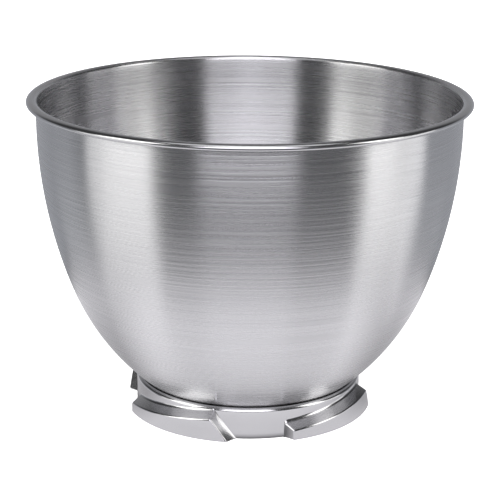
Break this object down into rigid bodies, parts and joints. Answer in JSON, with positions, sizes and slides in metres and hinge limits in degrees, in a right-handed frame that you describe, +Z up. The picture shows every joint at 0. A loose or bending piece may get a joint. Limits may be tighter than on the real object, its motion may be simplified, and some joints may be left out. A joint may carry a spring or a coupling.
{
  "type": "stand mixer bowl",
  "caption": "Deep drawn steel bowl with a curled rim, welded on a foot ring whose sloping lugs twist into a tilting-head mixer's seat.",
  "frame": {"origin": "centre of the foot ring's lower edge, on the bowl's axis at table level", "axes": "+Z up along the bowl's axis to the open mouth; -Y is the side the picture shows; the first lug's low end is 201.2 degrees round from +X"},
  "size_m": [0.2154, 0.2154, 0.156],
  "materials": {
    "brushed_steel": "stainless steel brushed round the axis in fine level streaks, with a polished rim",
    "polished_steel": "polished stainless steel pressing"
  },
  "bodies": {
    "root": {"bowl": "brushed_steel", "foot_ring": "polished_steel"}
  },
  "joints": []
}
